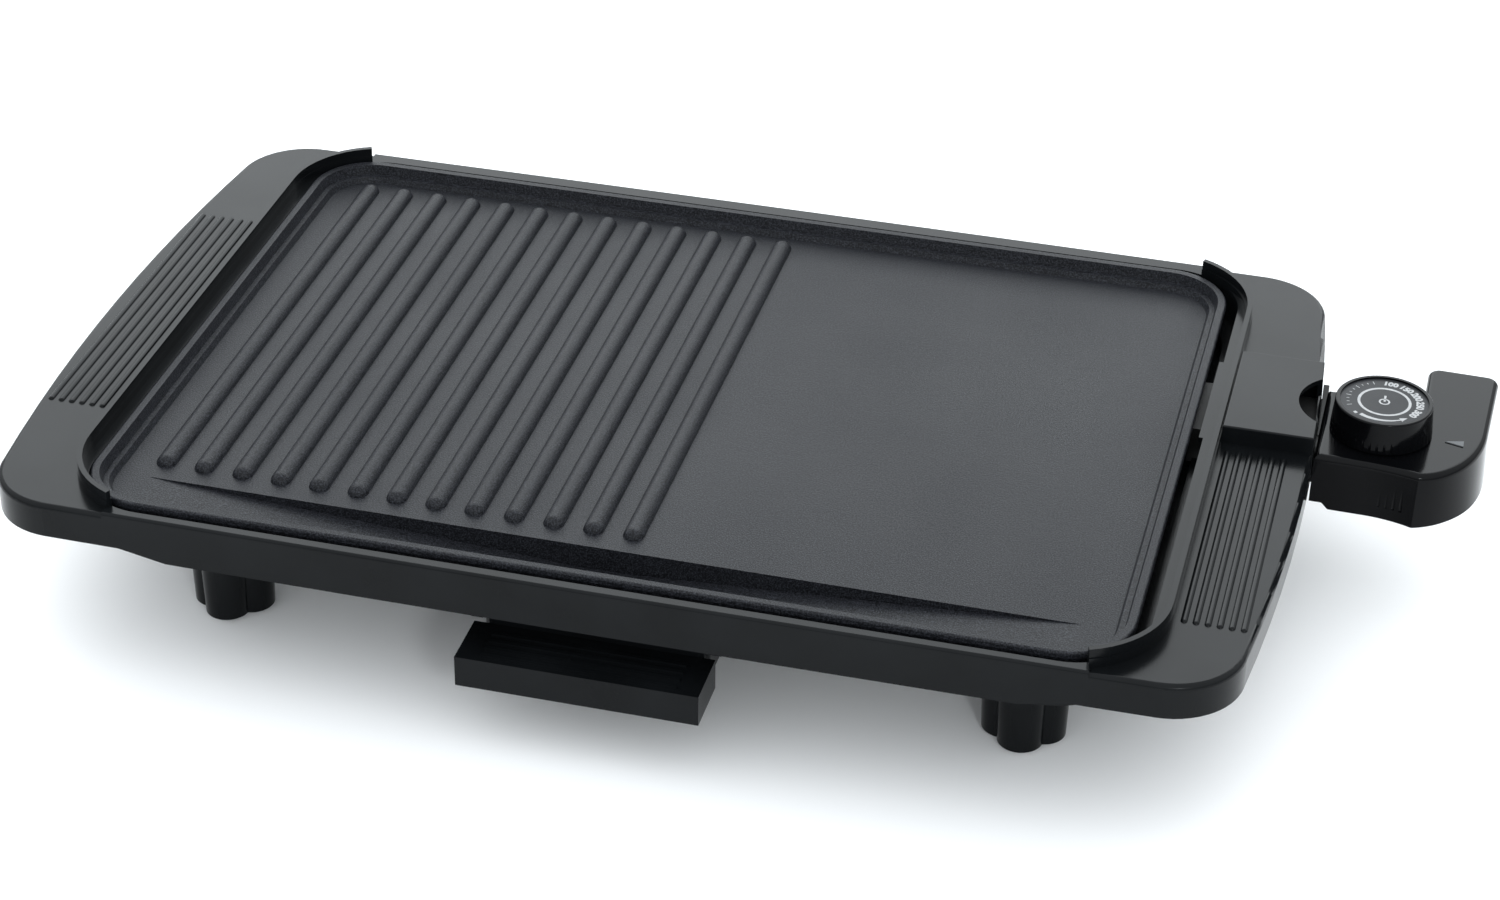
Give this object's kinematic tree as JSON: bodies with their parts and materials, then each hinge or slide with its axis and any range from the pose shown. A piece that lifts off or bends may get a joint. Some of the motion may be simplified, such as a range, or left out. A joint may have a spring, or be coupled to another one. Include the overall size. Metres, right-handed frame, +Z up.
{
  "type": "electric griddle",
  "caption": "Electric table griddle: half-ribbed non-stick plate in a black frame with two end handles, feet, a slide-out drip tray and a plug-in thermostat with a dial.",
  "frame": {"origin": "centre of the bounding box seen from above, on the table", "axes": "+X towards the handle with the thermostat, -Y towards the drip tray, +Z up"},
  "size_m": [0.6549, 0.3604, 0.0987],
  "materials": {
    "black_moulding": "satin",
    "controller_moulding": "gloss",
    "coated_cast_plate": "speckled non-stick coating",
    "element_sheath": "dull, heat stained",
    "contact_metal": "satin",
    "brass_sleeve": "satin",
    "ceramic": "dark grey, half glazed",
    "bright_sheet": "rolled sheet",
    "steel": "zinc plated",
    "screw_steel": "zinc plated",
    "heat_proof_plastic": "matt",
    "pad_rubber": "matt",
    "dial_print": "grey with pale print",
    "pointer_paint": "pale grey"
  },
  "bodies": {
    "griddle": {"base_frame": "black_moulding", "socket_cover": "black_moulding", "foot_front_left": "black_moulding", "foot_front_right": "black_moulding", "foot_rear_left": "black_moulding", "foot_rear_right": "black_moulding", "tray_rail_left": "black_moulding", "tray_rail_right": "black_moulding", "griddle_plate": "coated_cast_plate", "heating_element": "element_sheath", "terminal_pins": "contact_metal", "ceramic_bushes": "ceramic", "heat_shield": "bright_sheet", "element_straps": "steel", "shield_spacers": "steel", "plate_posts": "steel", "strap_screws": "screw_steel", "shield_screws": "screw_steel", "plate_screws": "screw_steel", "foot_screws": "screw_steel", "rail_screws": "screw_steel", "cover_screws": "screw_steel", "terminal_shroud": "heat_proof_plastic", "foot_pad_front_left": "pad_rubber", "foot_pad_front_right": "pad_rubber", "foot_pad_rear_left": "pad_rubber", "foot_pad_rear_right": "pad_rubber"},
    "controller": {"controller_upper_shell": "controller_moulding", "controller_lower_shell": "controller_moulding", "controller_screws": "screw_steel", "probe_nose": "heat_proof_plastic", "contact_sleeves": "brass_sleeve", "sensing_probe": "contact_metal", "thermostat_body": "heat_proof_plastic", "cord_gland": "pad_rubber", "dial_pointer": "pointer_paint"},
    "knob": {"temperature_knob": "controller_moulding", "knob_shaft": "steel", "dial_disc": "dial_print"},
    "tray": {"drip_tray": "black_moulding"}
  },
  "joints": [
    {"name": "tray_slide", "type": "slide", "parent": "griddle", "child": "tray", "axis": [0, -1, 0], "range_m": [0, 0.075]},
    {"name": "controller_pull", "type": "slide", "parent": "griddle", "child": "controller", "axis": [1, 0, 0], "range_m": [0, 0.115]},
    {"name": "knob_turn", "type": "hinge", "parent": "controller", "child": "knob", "pos_m": [0.2771, 0.0541, 0.0827], "axis": [0, 0, 1], "range_deg": [-90, 135]}
  ]
}
